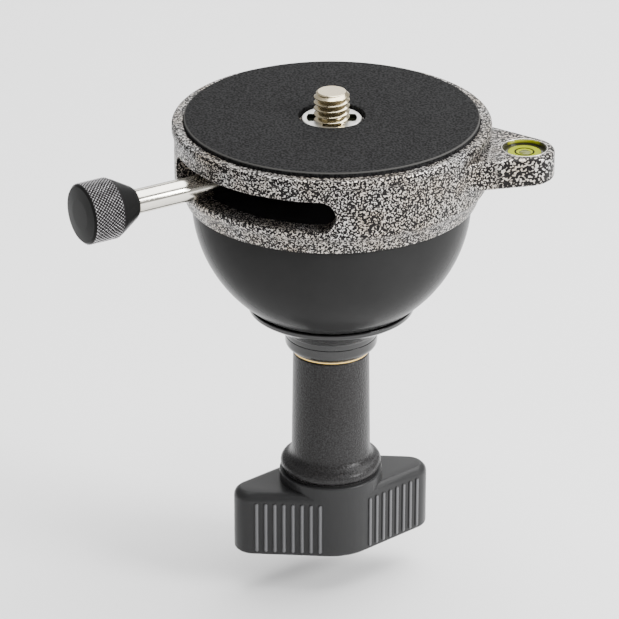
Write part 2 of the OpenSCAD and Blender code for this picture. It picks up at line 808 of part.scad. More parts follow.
platform();
friction_pad();
deck_bush();
thrust_washer();
deck_screws();
half_ball();
drawbar();
stop_washer();
stop_circlip();
vial_bezel();
vial_cup();
vial_liquid();
vial_cover();
stud_hub();
head_stud();
castle_nut();
hub_grub_screw();
lever_rod();
lever_knob();
clamp_dish();
thrust_collar();
brass_washer();
handle_tube();
thread_insert();
tail_plug();
wing_knob();
wing_screw();
wing_screw_washer();
end_cap();
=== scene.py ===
"""Leveling base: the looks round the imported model, in metres, in the frame of the model.

The half ball's centre is the origin, +Z runs up through the head stud and -Y faces the viewer.
Sizes in this file are in millimetres until MM turns them into metres.
"""
import json
import math

import bpy
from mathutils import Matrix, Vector


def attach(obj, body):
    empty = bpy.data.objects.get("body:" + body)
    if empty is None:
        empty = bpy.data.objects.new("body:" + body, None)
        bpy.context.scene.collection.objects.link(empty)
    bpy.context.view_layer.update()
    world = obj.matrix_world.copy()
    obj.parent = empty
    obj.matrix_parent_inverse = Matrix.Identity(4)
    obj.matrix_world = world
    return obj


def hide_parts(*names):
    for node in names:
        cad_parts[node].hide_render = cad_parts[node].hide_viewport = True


MM = 0.001
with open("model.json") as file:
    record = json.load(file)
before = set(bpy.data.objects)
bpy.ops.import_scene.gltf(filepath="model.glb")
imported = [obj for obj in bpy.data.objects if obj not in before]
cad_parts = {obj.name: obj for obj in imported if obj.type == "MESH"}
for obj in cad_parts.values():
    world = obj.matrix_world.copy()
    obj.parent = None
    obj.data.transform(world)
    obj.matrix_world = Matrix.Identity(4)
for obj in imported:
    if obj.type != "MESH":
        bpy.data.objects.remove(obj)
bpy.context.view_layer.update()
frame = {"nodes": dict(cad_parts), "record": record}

# The sizes that the pieces share, in millimetres. Z is a height, R a radius, T a thickness,
# and AZ a bearing round +Z in degrees.
BALL_R = 37.5
SEAT_Z = 0.8
BALL_SHELF_Z = 6.3
BALL_FLOOR_Z = -31.0
RIM_Z = 22.3
RECESS_Z = 21.5
PAD_Z = 23.5
PAD_R = 39.3
DECK_Z = 17.3
WALL_R = 41.9
LEVER_Z = 12.0
LEVER_AZ = -148.5
KNOB_FROM = 60.2
KNURL_R = 8.2
EAR_AZ = -11.2
EAR_R = 51.6
EAR_TOP = 18.3
EAR_T = 8.0
POCKET_FLOOR = 1.5
WING_AZ = 18.35
WING_LOW = -102.6
WING_MID_R = 14.2
WING_TIP_R = 5.6
WING_REACH = 22.3
WING_TOP = -81.3
FOOT_Z = -80.9
TRAVEL = 12.0

# How far the wing knob's flanks lean from its length
WING_SLANT = math.asin((WING_MID_R - WING_TIP_R) / WING_REACH)


# Handling pieces


def deselect():
    if bpy.context.object and bpy.context.object.mode != "OBJECT":
        bpy.ops.object.mode_set(mode="OBJECT")
    bpy.ops.object.select_all(action="DESELECT")


def take(piece):
    deselect()
    piece.select_set(True)
    bpy.context.view_layer.objects.active = piece
    return piece


def named(name):
    piece = bpy.context.object
    piece.name = name
    piece.data.name = name
    return piece


def edit_all(piece):
    """Opens the piece in edit mode, with all of it selected."""
    take(piece)
    bpy.ops.object.mode_set(mode="EDIT")
    bpy.ops.mesh.select_all(action="SELECT")


def leave_edit():
    bpy.ops.object.mode_set(mode="OBJECT")


def settle(piece):
    """Puts the piece's place into its mesh."""
    take(piece)
    bpy.ops.object.transform_apply(location=True, rotation=True, scale=True)
    return piece


def place(piece, turn=(0, 0, 0), at=(0, 0, 0)):
    """Turns the piece by degrees about X, Y and Z, and then moves it, in mm."""
    piece.rotation_euler = [math.radians(a) for a in turn]
    piece.location = [v * MM for v in at]
    return settle(piece)


def tidy(piece):
    """Merges what meets, and turns every face outwards."""
    edit_all(piece)
    bpy.ops.mesh.remove_doubles(threshold=1e-6)
    bpy.ops.mesh.normals_make_consistent(inside=False)
    leave_edit()
    return piece


def smooth(piece, angle=32):
    """Shades smooth, but for the edges sharper than the angle in degrees."""
    take(piece)
    bpy.ops.object.shade_smooth_by_angle(angle=math.radians(angle))
    return piece


def apply(piece, modifier):
    take(piece)
    bpy.ops.object.modifier_apply(modifier=modifier.name)


def copy_of(piece, name):
    twin = piece.copy()
    twin.data = piece.data.copy()
    twin.name = name
    bpy.context.scene.collection.objects.link(twin)
    return twin


def join(pieces, name):
    take(pieces[0])
    for piece in pieces[1:]:
        piece.select_set(True)
    if len(pieces) > 1:
        bpy.ops.object.join()
    return named(name)


def carve(piece, tool, how="DIFFERENCE"):
    """Cuts, joins or keeps what is common with the tool, which is used up."""
    step = piece.modifiers.new("carve", "BOOLEAN")
    step.operation = how
    step.solver = "MANIFOLD"
    step.object = tool
    apply(piece, step)
    bpy.data.objects.remove(tool)
    return piece


def soften(piece, width):
    """Rounds the piece's sharp edges."""
    step = piece.modifiers.new("soften", "BEVEL")
    step.width = width * MM
    step.segments = 2
    step.limit_method = "ANGLE"
    step.angle_limit = math.radians(50)
    apply(piece, step)
    return piece


def pick(piece, mode, test):
    """Selects, in edit mode, the edges or faces whose middle passes the test."""
    take(piece)
    mesh = piece.data
    bpy.ops.object.mode_set(mode="EDIT")
    bpy.ops.mesh.select_mode(type=mode)
    bpy.ops.mesh.select_all(action="DESELECT")
    bpy.ops.object.mode_set(mode="OBJECT")
    if mode == "FACE":
        for face in mesh.polygons:
            face.select = test(face.center / MM, face.normal)
    else:
        for edge in mesh.edges:
            a, b = (mesh.vertices[i].co / MM for i in edge.vertices)
            edge.select = test((a + b) / 2, b - a)
    bpy.ops.object.mode_set(mode="EDIT")


def close_ends(piece):
    """Fills the openings of a swept skin."""
    edit_all(piece)
    bpy.ops.mesh.fill_holes(sides=0)
    leave_edit()
    return tidy(piece)


# Shaping


def polar(r, bearing):
    """The point at r from the Z axis, on a bearing in degrees."""
    return r * math.cos(math.radians(bearing)), r * math.sin(math.radians(bearing))


def arc(cx, cz, r, start, end, steps=6):
    """Points of an arc, from one bearing to another in degrees."""
    bearings = [math.radians(start + (end - start) * i / steps) for i in range(steps + 1)]
    return [(cx + r * math.cos(a), cz + r * math.sin(a)) for a in bearings]


def eased(corners, steps=5, closed=True):
    """Corners are (x, z) or (x, z, rounding). A rounded corner becomes an arc."""
    points = []
    count = len(corners)
    for i, corner in enumerate(corners):
        here = Vector(corner[:2])
        last = not closed and i in (0, count - 1)
        if len(corner) == 2 or last:
            points.append(tuple(here))
            continue
        before = (Vector(corners[i - 1][:2]) - here).normalized()
        after = (Vector(corners[(i + 1) % count][:2]) - here).normalized()
        half = before.angle(after) / 2
        reach = corner[2] / math.tan(half)
        centre = here + (before + after).normalized() * corner[2] / math.sin(half)
        first = here + before * reach - centre
        second = here + after * reach - centre
        for k in range(steps + 1):
            t = k / steps
            way = (first * (1 - t) + second * t).normalized() * corner[2]
            points.append(tuple(centre + way))
    return points


def scribe(name, points, closed=True):
    """Draws a line through (x, z) points: one vertex, drawn out step by step."""
    deselect()
    x, z = points[0]
    bpy.ops.mesh.primitive_plane_add(size=MM, location=(x * MM, 0, z * MM))
    piece = settle(named(name))
    edit_all(piece)
    bpy.ops.mesh.select_mode(type="VERT")
    bpy.ops.mesh.merge(type="CENTER")
    ends = points + points[:1] if closed else points
    for a, b in zip(ends, ends[1:]):
        step = ((b[0] - a[0]) * MM, 0, (b[1] - a[1]) * MM)
        bpy.ops.mesh.extrude_region_move(TRANSFORM_OT_translate={"value": step})
    bpy.ops.mesh.select_all(action="SELECT")
    bpy.ops.mesh.remove_doubles(threshold=1e-7)
    leave_edit()
    return piece


def swept(piece, sides, angle=360, rise=0.0, turns=1):
    """Spins a line about Z, and up by the rise in each turn."""
    step = piece.modifiers.new("sweep", "SCREW")
    step.axis = "Z"
    step.angle = math.radians(angle)
    step.screw_offset = rise * MM
    step.iterations = turns
    step.steps = sides
    step.render_steps = sides
    step.use_merge_vertices = rise == 0
    step.merge_threshold = 1e-6
    apply(piece, step)
    return piece


def turned(name, corners, sides=128, steps=5, closed=True):
    """A piece turned about Z from its section. An open section ends on the axis."""
    piece = scribe(name, eased(corners, steps, closed), closed)
    swept(piece, sides)
    return smooth(tidy(piece))


def block(name, size, at, turn=(0, 0, 0)):
    """A box with its middle on the point at."""
    deselect()
    bpy.ops.mesh.primitive_cube_add(size=1)
    piece = named(name)
    piece.scale = [v * MM for v in size]
    settle(piece)
    return place(piece, turn, at)


def rod(name, r, h, at, sides=64):
    """A cylinder that stands on the point at."""
    deselect()
    bpy.ops.mesh.primitive_cylinder_add(
        vertices=sides, radius=r * MM, depth=h * MM,
        location=(at[0] * MM, at[1] * MM, (at[2] + h / 2) * MM))
    return settle(named(name))


def threaded(name, blank, pitch, crest, root, low, turns, sides=48):
    """A right-hand thread from low upwards, kept within the turned blank, which is used up."""
    flat = pitch / 16
    tooth = [(root, low), (root, low + flat), (crest, low + pitch / 2 - flat),
             (crest, low + pitch / 2 + flat), (root, low + pitch)]
    helix = scribe(name, tooth, closed=False)
    swept(helix, sides, rise=pitch, turns=turns)
    carve(close_ends(tidy(helix)), blank, "INTERSECT")
    return smooth(tidy(helix), 28)


# Finishes


class Finish:
    """A material, and the nodes that give it its grain."""

    def __init__(self, name, color, rough, metal=0.0, **sockets):
        self.material = bpy.data.materials.new(name)
        self.material.use_nodes = True
        self.tree = self.material.node_tree
        self.shader = self.tree.nodes["Principled BSDF"]
        self.shader.inputs["Base Color"].default_value = (*color, 1)
        self.shader.inputs["Roughness"].default_value = rough
        self.shader.inputs["Metallic"].default_value = metal
        for socket, value in sockets.items():
            self.shader.inputs[socket.replace("_", " ")].default_value = value
        self.place = self.add("ShaderNodeTexCoord").outputs["Object"]
        self.normal = None

    def add(self, kind, **settings):
        node = self.tree.nodes.new(kind)
        for key, value in settings.items():
            setattr(node, key, value)
        return node

    def link(self, source, socket):
        self.tree.links.new(source, socket)

    def mapped(self, scale=(1, 1, 1), turn=(0, 0, 0), at=(0, 0, 0), kind="POINT"):
        """The place on the piece, stretched, turned by degrees and moved by mm."""
        node = self.add("ShaderNodeMapping", vector_type=kind)
        node.inputs["Location"].default_value = [v * MM for v in at]
        node.inputs["Rotation"].default_value = [math.radians(a) for a in turn]
        node.inputs["Scale"].default_value = scale
        self.link(self.place, node.inputs["Vector"])
        return node.outputs["Vector"]

    def axes(self, source=None):
        node = self.add("ShaderNodeSeparateXYZ")
        self.link(source or self.place, node.inputs["Vector"])
        return node.outputs

    def length(self, source):
        node = self.add("ShaderNodeVectorMath", operation="LENGTH")
        self.link(source, node.inputs[0])
        return node.outputs["Value"]

    def noise(self, size, detail=2.0, rough=0.5, distortion=0.0, place=None):
        """Noise whose blobs are about size mm wide."""
        node = self.add("ShaderNodeTexNoise")
        node.inputs["Scale"].default_value = 1 / (size * MM)
        node.inputs["Detail"].default_value = detail
        node.inputs["Roughness"].default_value = rough
        node.inputs["Distortion"].default_value = distortion
        self.link(place or self.place, node.inputs["Vector"])
        return node.outputs["Fac"]

    def cells(self, size):
        """Soft-edged cells about size mm wide."""
        node = self.add("ShaderNodeTexVoronoi", feature="SMOOTH_F1")
        node.inputs["Scale"].default_value = 1 / (size * MM)
        self.link(self.place, node.inputs["Vector"])
        return node.outputs["Distance"]

    def spread(self, source, low, high, to_low=0.0, to_high=1.0):
        """Takes the source's range from low to high to another range, and holds it there."""
        node = self.add("ShaderNodeMapRange")
        node.inputs["From Min"].default_value = low
        node.inputs["From Max"].default_value = high
        node.inputs["To Min"].default_value = to_low
        node.inputs["To Max"].default_value = to_high
        self.link(source, node.inputs["Value"])
        return node.outputs["Result"]

    def sums(self, a, b, how="ADD"):
        """Adds two values, or does what the operation says."""
        node = self.add("ShaderNodeMath", operation=how)
        for value, socket in zip((a, b), node.inputs):
            if isinstance(value, (int, float)):
                socket.default_value = value
            else:
                self.link(value, socket)
        return node.outputs["Value"]

    def colors(self, source, stops):
        """Colours by the source's value: stops are (place, (r, g, b))."""
        node = self.add("ShaderNodeValToRGB")
        elements = node.color_ramp.elements
        while len(elements) < len(stops):
            elements.new(0.5)
        for element, (spot, color) in zip(elements, stops):
            element.position = spot
            element.color = (*color, 1)
        self.link(source, node.inputs["Fac"])
        return node.outputs["Color"]

    def mix(self, factor, a, b):
        """Colour a where the factor is 0, and b where it is 1."""
        node = self.add("ShaderNodeMix", data_type="RGBA")
        self.link(factor, node.inputs["Factor"])
        for value, socket in ((a, node.inputs["A"]), (b, node.inputs["B"])):
            if isinstance(value, tuple):
                socket.default_value = (*value, 1)
            else:
                self.link(value, socket)
        return node.outputs["Result"]

    def paint(self, source):
        self.link(source, self.shader.inputs["Base Color"])
        return self

    def gloss(self, source, low, high):
        """Roughness between low and high as the source goes from 0 to 1."""
        self.link(self.spread(source, 0, 1, low, high), self.shader.inputs["Roughness"])
        return self

    def bump(self, source, depth, strength=1.0):
        """Raises the surface by the source, depth mm from 0 to 1."""
        node = self.add("ShaderNodeBump")
        node.inputs["Strength"].default_value = strength
        node.inputs["Distance"].default_value = depth * MM
        self.link(source, node.inputs["Height"])
        if self.normal:
            self.link(self.normal, node.inputs["Normal"])
        self.normal = node.outputs["Normal"]
        self.link(self.normal, self.shader.inputs["Normal"])
        return self


def hammer_paint():
    """Black enamel with bright silver flecks that run into each other, larger on the ear."""
    look = Finish("hammer_paint", (0.2, 0.2, 0.2), 0.4, 0.2, Specular_IOR_Level=0.12)
    on_ear = look.spread(look.axes()["X"], WALL_R * MM, (WALL_R + 2) * MM)

    def flecks_of(size):
        return look.spread(look.noise(size, 0.4, 0.5, 0.5), 0.54, 0.61)

    flecks = look.sums(
        look.sums(flecks_of(0.46), look.sums(1.0, on_ear, "SUBTRACT"), "MULTIPLY"),
        look.sums(flecks_of(0.68), on_ear, "MULTIPLY"))
    tint = look.noise(9, 2.0)
    silver = look.colors(tint, [(0.3, (0.46, 0.4, 0.33)), (0.7, (0.58, 0.57, 0.56))])
    look.paint(look.mix(flecks, (0.006, 0.005, 0.005), silver))
    look.gloss(flecks, 0.4, 0.32)
    look.link(look.spread(flecks, 0, 1, 0, 0.7), look.shader.inputs["Metallic"])
    look.bump(flecks, 0.04, 0.8)
    look.bump(look.noise(4, 2.0), 0.08, 0.3)
    return look.material


def pad_rubber():
    """Grained rubber, with a painted highlight round its upper edge."""
    look = Finish("pad_rubber", (0.008, 0.008, 0.0082), 0.85, Specular_IOR_Level=0.08)
    reach = look.length(look.mapped((1, 1, 0)))
    # Painted highlight: a paler band along the rounded upper edge, where it catches the light.
    edge = look.sums(look.spread(reach, (PAD_R - 0.5) * MM, (PAD_R - 0.25) * MM),
                     look.spread(look.axes()["Z"], (PAD_Z - 0.4) * MM, (PAD_Z - 0.28) * MM),
                     "MULTIPLY")
    grain = look.noise(0.6, 1.0, 0.5)
    cloud = look.noise(12, 3.0)
    rubber = look.mix(look.spread(grain, 0.4, 0.6), (0.004, 0.004, 0.0041),
                      (0.018, 0.018, 0.0185))
    look.paint(look.mix(edge, rubber, (0.05, 0.049, 0.047)))
    look.gloss(cloud, 0.78, 0.9)
    look.bump(look.spread(grain, 0.3, 0.7), 0.06, 0.8)
    return look.material


def turned_metal(name, color, rough, wear):
    """Metal with faint rings from the lathe, about Z."""
    look = Finish(name, color, rough, 1.0)
    rings = look.noise(0.05, 2.0, 0.6, place=look.mapped((0.01, 0.01, 1)))
    cloud = look.noise(6, 3.0)
    darker = tuple(v * 0.86 for v in color)
    look.paint(look.mix(look.spread(cloud, 0.3, 0.7), darker, color))
    look.gloss(look.spread(cloud, 0.3, 0.7), max(rough - wear, 0.03), rough + wear)
    look.bump(rings, 0.004, 0.5)
    return look.material


def smooth_black(name, shade, rough, spec):
    """Smooth black paint, a little uneven in shade and gloss."""
    look = Finish(name, (shade, shade, shade * 1.05), rough, 0.0, Specular_IOR_Level=spec)
    cloud = look.noise(14, 3.0)
    fine = look.noise(0.5, 1.0, 0.5)
    look.paint(look.mix(cloud, (shade * 0.85,) * 3, (shade * 1.2,) * 3))
    look.gloss(cloud, rough - 0.03, rough + 0.03)
    look.bump(fine, 0.004, 0.5)
    return look.material


def knurl_black():
    """Black enamel, with painted glints: bright bare metal painted on the tips of the diamonds.
    """
    look = Finish("knurl_black", (0.1, 0.1, 0.1), 0.26, Specular_IOR_Level=0.2)
    flat = 1e6
    reach = look.length(look.mapped(
        (flat, 1, 1), (0, 0, LEVER_AZ), (0, 0, LEVER_Z), kind="TEXTURE"))
    patchy = look.sums(look.noise(1.2, 1.0), 0.16 * MM, "MULTIPLY")
    # Painted glints: bright metal on the diamonds' tips, patchy along the band.
    glint_tips = look.spread(look.sums(reach, patchy), (KNURL_R - 0.19) * MM, KNURL_R * MM)
    look.paint(look.mix(glint_tips, (0.008, 0.007, 0.007), (0.88, 0.86, 0.88)))
    look.link(glint_tips, look.shader.inputs["Metallic"])
    look.gloss(glint_tips, 0.34, 0.2)
    return look.material


def crinkle_black():
    """Fine leathery texture of a powder coat."""
    look = Finish("crinkle_black", (0.03, 0.03, 0.031), 0.5, 0.0, Specular_IOR_Level=0.15)
    crinkle = look.cells(0.55)
    fine = look.noise(0.36, 1.0, 0.5)
    cloud = look.noise(16, 2.0)
    shade = look.mix(cloud, (0.027, 0.026, 0.026), (0.036, 0.036, 0.037))
    look.paint(look.mix(look.spread(fine, 0.35, 0.65), (0.013, 0.012, 0.012), shade))
    look.gloss(fine, 0.26, 0.38)
    look.bump(crinkle, 0.12, 0.8)
    look.bump(fine, 0.04, 0.6)
    return look.material


def wing_plastic():
    """Moulded nylon with a faint grain, and a painted highlight along the crests of the finger
    ribs.
    """
    look = Finish("wing_plastic", (0.03, 0.03, 0.031), 0.34, 0.0, Specular_IOR_Level=0.15)
    grain = look.noise(0.22, 2.0, 0.6)
    cloud = look.noise(18, 3.0)
    black = look.mix(cloud, (0.021, 0.021, 0.0215), (0.027, 0.027, 0.0275))
    along = look.axes(look.mapped(turn=(0, 0, -WING_AZ)))
    flank = WING_TIP_R + WING_REACH * math.sin(WING_SLANT)
    out = look.sums(*(
        look.sums(look.sums(along[axis], 0.0, "ABSOLUTE"), share, "MULTIPLY")
        for axis, share in (("X", math.sin(WING_SLANT)), ("Y", math.cos(WING_SLANT)))))
    # Painted highlight: the rib crests are painted paler, in place of the bright lines the light
    # draws along them.
    crest = look.spread(out, (flank + 0.22) * MM, (flank + 0.48) * MM)
    look.paint(look.mix(crest, black, (0.12, 0.12, 0.125)))
    look.gloss(cloud, 0.26, 0.34)
    look.bump(grain, 0.02, 0.5)
    return look.material


def clear_acrylic():
    """The clear plastic that the level's solids are made of."""
    look = Finish("clear_acrylic", (0.9, 0.95, 0.75), 0.05, 0.0, Alpha=0.12)
    look.gloss(look.noise(2, 2.0), 0.03, 0.08)
    return look.material


def tinted_acrylic():
    """The level's body, which carries the liquid's colour to its edges."""
    look = Finish("tinted_acrylic", (0.2, 0.22, 0.01), 0.16)
    look.paint(look.mix(look.noise(2.5, 2.0), (0.16, 0.18, 0.006), (0.24, 0.26, 0.012)))
    return look.material


def acrylic_wall():
    """The window's wall: painted light in the liquid's colour at the top of its far side, painted
    shade elsewhere.
    """
    look = Finish("acrylic_wall", (0.06, 0.06, 0.02), 0.16)
    axes = look.axes()
    top = look.spread(axes["Z"], (EAR_TOP - 0.9) * MM, (EAR_TOP - 0.5) * MM)
    middle = polar(EAR_R, EAR_AZ)[1]
    # Painted light and shade: the liquid's colour glows on the top of the far side; the rest of
    # the wall is painted dark.
    painted_far_light = look.spread(axes["Y"], (middle + 3.4) * MM, (middle + 4.4) * MM)
    tint = look.mix(look.noise(1.5, 2.0), (0.24, 0.25, 0.008), (0.32, 0.33, 0.02))
    look.paint(look.mix(look.sums(top, painted_far_light, "MULTIPLY"), (0.02, 0.02, 0.008), tint))
    return look.material


def ink_and_painted_shade():
    """Dull black: the printed circle, and painted shade in the depth of the nut's notches."""
    look = Finish("ink_and_painted_shade", (0.005, 0.006, 0.002), 0.5, Specular_IOR_Level=0.03)
    look.gloss(look.noise(1, 1.0), 0.45, 0.6)
    return look.material


def bubble():
    """Grey-yellow, with painted shade along its far edge."""
    look = Finish("bubble", (0.2, 0.22, 0.02), 0.1, Specular_IOR_Level=0.2)
    # Painted shade: faces turned away towards +Y go dark.
    facing = look.axes(look.add("ShaderNodeNewGeometry").outputs["Normal"])
    look.paint(look.colors(facing["Y"], [
        (0.03, (0.12, 0.13, 0.03)), (0.1, (0.006, 0.007, 0.001))]))
    return look.material


def level_liquid():
    """Yellow-green, seen through the window."""
    look = Finish("level_liquid", (0.2, 0.22, 0.005), 0.3, Specular_IOR_Level=0.04)
    cloud = look.noise(3, 2.0)
    look.paint(look.mix(cloud, (0.19, 0.22, 0.001), (0.29, 0.32, 0.003)))
    return look.material


def white_nylon():
    """Plain off-white plastic of the hidden washers."""
    look = Finish("white_nylon", (0.83, 0.81, 0.76), 0.5)
    look.paint(look.mix(look.noise(3, 2.0), (0.78, 0.76, 0.7), (0.86, 0.85, 0.8)))
    return look.material


# Colour, roughness and how much the roughness varies
METALS = {
    "bearing_bronze": ((0.58, 0.42, 0.22), 0.38, 0.06),
    "bezel_metal": ((0.6, 0.58, 0.53), 0.22, 0.06),
    "brass": ((0.82, 0.56, 0.18), 0.24, 0.06),
    "hub_metal": ((0.62, 0.62, 0.64), 0.35, 0.06),
    "nut_steel": ((0.8, 0.79, 0.75), 0.34, 0.06),
    "polished_steel": ((0.7, 0.67, 0.6), 0.12, 0.04),
    "stud_nickel": ((0.7, 0.61, 0.42), 0.2, 0.06),
    "zinc_steel": ((0.6, 0.6, 0.58), 0.34, 0.06),
}
# Shade, roughness and specular level
BLACKS = {
    "black_steel": (0.012, 0.4, 0.02),
    "knob_black": (0.009, 0.3, 0.045),
    "satin_black": (0.023, 0.24, 0.02),
    "turned_black": (0.013, 0.2, 0.45),
}
FINISHES = {
    "hammer_paint": hammer_paint(),
    "pad_rubber": pad_rubber(),
    "knurl_black": knurl_black(),
    "crinkle_black": crinkle_black(),
    "wing_plastic": wing_plastic(),
    "white_nylon": white_nylon(),
    "clear_acrylic": clear_acrylic(),
    "tinted_acrylic": tinted_acrylic(),
    "acrylic_wall": acrylic_wall(),
    "ink_and_painted_shade": ink_and_painted_shade(),
    "level_liquid": level_liquid(),
    "bubble": bubble(),
}
FINISHES.update({name: turned_metal(name, *look) for name, look in METALS.items()})
FINISHES.update({name: smooth_black(name, *look) for name, look in BLACKS.items()})


def dress(piece, body, slot, *nodes, look=None):
    """The finished piece gets its finish, rides on its body and stands for its nodes."""
    piece.data.materials.clear()
    piece.data.materials.append(FINISHES[look or slot])
    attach(piece, body)
    if nodes:
        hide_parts(*nodes)
    return piece


# Platform: ring, deck and ear


def slot_cutters():
    """The lever slot's swept part and its two round ends, with a rounded mouth."""
    half, lip = 4.1, 0.45
    inside, outside = 34.0, 44.5
    mouth = WALL_R - lip
    upper = [(inside, half), (mouth, half)] + arc(mouth, half + lip, lip, -90, -10, 5)[1:]
    upper += [(outside, half + lip + 0.2)]
    lower = [(x, -z) for x, z in reversed(upper)]
    band = scribe("slot_band", [(x, LEVER_Z + z) for x, z in upper + lower])
    slot_from, slot_to, round_end = -168.5, -88.9, 5.6
    low, high = slot_from + round_end, slot_to - round_end
    swept(band, 48, angle=high - low)
    place(close_ends(band), turn=(0, 0, low))
    tools = [band]
    for bearing in (low, high):
        profile = [(0, inside)] + [(z, x) for x, z in upper] + [(0, outside)]
        end = tidy(swept(scribe("slot_end", profile, closed=False), 48))
        place(end, turn=(0, 90, 0))
        place(end, turn=(0, 0, bearing), at=(0, 0, LEVER_Z))
        tools.append(end)
    return tools


def ear_blank():
    """The level's ear, with hollow corners where it meets the wall."""
    tip_r, hollow = 8.0, 5.0
    flare = 24
    flank = EAR_R * math.sin(math.radians(flare)) + tip_r
    root = 90 - flare - math.degrees(math.acos((flank + hollow) / (WALL_R + hollow)))
    side = arc(EAR_R, 0, tip_r, 0, 90 - flare, 14)
    side += arc(*polar(WALL_R + hollow, root), hollow, 270 - flare, 180 + root, 8)
    inside = 38.5
    side += [(inside, side[-1][1] - 0.6)]
    outline = side + [(x, -y) for x, y in reversed(side[1:])]
    piece = scribe("ear", outline)
    edit_all(piece)
    bpy.ops.mesh.edge_face_add()
    bpy.ops.mesh.extrude_region_move(TRANSFORM_OT_translate={"value": (0, EAR_T * MM, 0)})
    leave_edit()
    tidy(piece)
    place(piece, turn=(90, 0, 0), at=(0, 0, EAR_TOP - EAR_T))
    pick(piece, "EDGE", lambda at, way: abs(way.z) < 0.01 and at.x > inside + 0.5)
    bpy.ops.mesh.bevel(offset=1.1 * MM, segments=4, affect="EDGES")
    leave_edit()
    return place(tidy(piece), turn=(0, 0, EAR_AZ))


def screw_boss(spot):
    """A post under the deck, bored for its screw."""
    low, r, hole_r = BALL_SHELF_Z, 5.0, 2.75
    boss = rod("boss", r, DECK_Z - low + 0.5, (*spot, low), 48)
    return carve(boss, rod("boss_hole", hole_r, 14, (*spot, low - 0.8), 32))


def make_platform():
    ring = turned("ring", [
        (36.6, SEAT_Z), (39.1, SEAT_Z, 0.3), (40.39, 4.2, 3), (WALL_R, 6.2, 2),
        (WALL_R, 19.5, 0.4), (42.48, 20.1, 0.3), (42.48, RIM_Z, 0.9),
        (PAD_R + 0.1, RIM_Z, 0.2), (PAD_R + 0.1, RECESS_Z),
        (8.3, RECESS_Z), (8.3, 20.5), (7.81, 20.5), (7.81, DECK_Z), (36.6, DECK_Z)], sides=192)
    carve(ring, ear_blank(), "UNION")
    for tool in slot_cutters():
        carve(ring, tool)
    carve(ring, rod("pocket", 6.3, 10, (*polar(EAR_R, EAR_AZ), EAR_TOP - EAR_T + POCKET_FLOOR),
                    96))
    for i in range(3):
        carve(ring, screw_boss(polar(32.0, 50 + 120 * i)), "UNION")
    ring = join([smooth(tidy(ring), 30)], "platform_casting")
    return dress(ring, "head", "hammer_paint", "platform")


# Top: pad, stud and notched nut


def make_pad():
    pad = turned("pad", [(8.9, RECESS_Z), (PAD_R, RECESS_Z), (PAD_R, PAD_Z, 0.4),
                         (8.9, PAD_Z, 0.25)], sides=192)
    return dress(pad, "head", "pad_rubber", "friction_pad")


def make_stud():
    low, top, r = 8.8, 30.3, 4.76
    pitch = 25.4 / 16
    blank = turned("blank", [(0, low), (r, low), (r, top - 1.0, 0.15), (3.72, top, 0.1),
                             (0, top)], sides=64, closed=False)
    stud = threaded("stud_thread", blank, pitch, r + 0.01, 3.8, low - 2.3, 17)
    return dress(stud, "lever", "stud_nickel", "head_stud")


def make_nut():
    low, top, bore = 21.3, 22.8, 4.82
    notch_r, notch_w, notch_deep = 6.7, 5.0, 1.1
    nut = turned("nut", [(bore, low), (8.0, low), (8.0, top, 0.35), (bore, top, 0.2)], sides=96)
    for turn in (0, 90):
        cross = block("notch", (2 * notch_r, notch_w, 2 * notch_deep), (0, 0, top), (0, 0, turn))
        carve(cross, rod("notch_limit", notch_r, 6, (0, 0, top - 3), 64), "INTERSECT")
        carve(nut, cross)
    nut = join([smooth(soften(tidy(nut), 0.12), 30)], "nut_ring")
    dress(nut, "lever", "polished_steel", "castle_nut", look="nut_steel")
    # Painted shade: the faces below the top within the notches' reach, the notches' floors and
    # walls, are painted dull black.
    nut.data.materials.append(FINISHES["ink_and_painted_shade"])
    pick(nut, "FACE",
         lambda at, way: at.z < top - 0.15 and bore + 0.08 < at.xy.length < notch_r + 0.02)
    nut.active_material_index = 1
    bpy.ops.object.material_slot_assign()
    leave_edit()


# Lever: rod and knurled knob


def along_lever(piece, reach):
    """Lays a piece made about Z along the lever, starting at reach from the head's axis."""
    place(piece, turn=(0, 90, 0))
    return place(piece, turn=(0, 0, LEVER_AZ), at=(*polar(reach, LEVER_AZ), LEVER_Z))


def make_lever():
    r, length = 3.25, 62.4
    bar = turned("bar", [(0, 0), (r, 0, 0.4), (r, length, 0.4), (0, length)], sides=64,
                 closed=False)
    along_lever(bar, 6.8)
    dress(bar, "lever", "polished_steel", "lever_rod")

    knob = turned("knob", [
        (0, 0), (3.9, 0), (4.5, 0.7, 0.5), (7.35, 5.6, 4), (7.75, 6.5, 0.2), (7.8, 7.0),
        (7.8, 14.6), (7.75, 15.0, 0.15), (7.4, 15.4, 0.2), (4.0, 15.7, 8), (0, 15.8)],
        sides=96, closed=False)
    carve(knob, rod("knob_hole", r + 0.05, 10.05, (0, 0, -1), 48))
    along_lever(smooth(join([knob], "lever_grip"), 34), KNOB_FROM)
    dress(knob, "lever", "knob_black", "lever_knob")

    knurl = along_lever(smooth(knurled_band(6.8, 14.9), 20), KNOB_FROM)
    dress(knurl, "lever", "knob_black", look="knurl_black")


